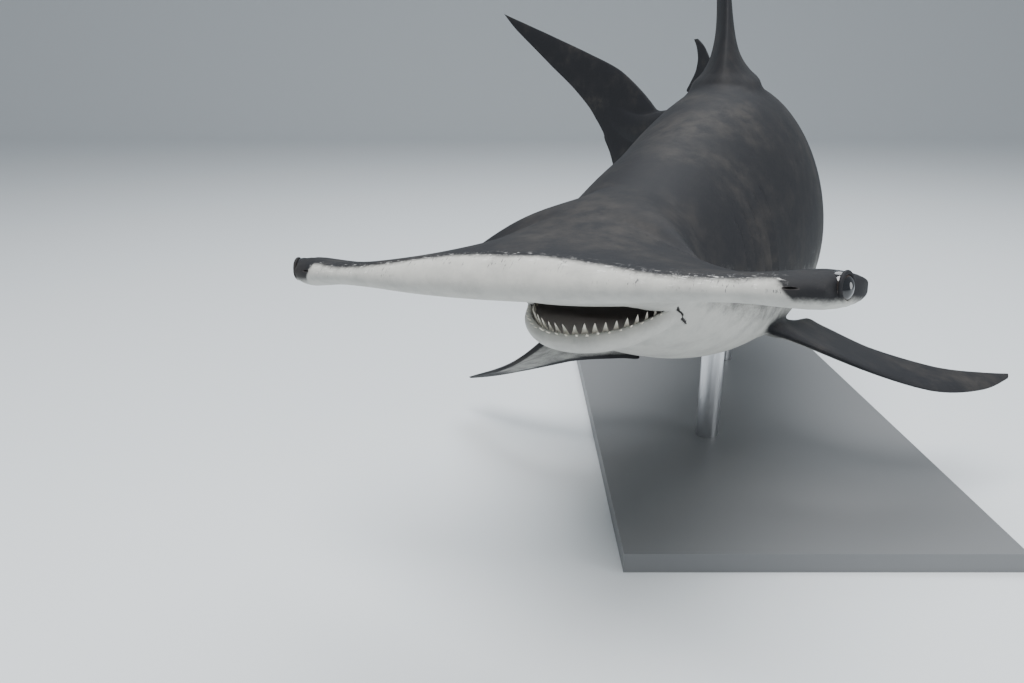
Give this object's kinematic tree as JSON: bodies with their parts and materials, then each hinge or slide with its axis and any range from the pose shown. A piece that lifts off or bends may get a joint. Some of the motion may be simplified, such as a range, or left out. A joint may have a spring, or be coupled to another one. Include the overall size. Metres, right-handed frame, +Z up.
{
  "type": "great hammerhead shark model",
  "caption": "Life-size still model of a great hammerhead shark, mouth open and body curving, held on a flat display base by two rods",
  "frame": {"origin": "centre of the underside of the display base, on the floor", "axes": "+Z up, +Y along the base from the shark's head end to its tail, +X to the right seen from in front of the head, which is the shark's left"},
  "size_m": [1.4278, 3.1243, 1.4089],
  "materials": {
    "back": "satin",
    "fin": "satin",
    "jaw": "satin",
    "eye": "gloss",
    "stand_base": "satin",
    "stand_rod": "brushed"
  },
  "bodies": {
    "root": {"head": "back", "hammer_left": "back", "hammer_right": "back", "gill_section": "back", "trunk_front": "back", "trunk_rear": "back", "tail_front": "back", "tail_stalk": "back", "lower_jaw": "jaw", "eye_left": "eye", "eye_right": "eye", "pectoral_left": "fin", "pectoral_right": "fin", "pelvic_left": "fin", "pelvic_right": "fin", "dorsal_first": "fin", "dorsal_second": "fin", "anal_fin": "fin", "caudal_upper": "fin", "caudal_lower": "fin", "stand_base": "stand_base", "stand_rod_front": "stand_rod", "stand_rod_rear": "stand_rod"}
  },
  "joints": []
}
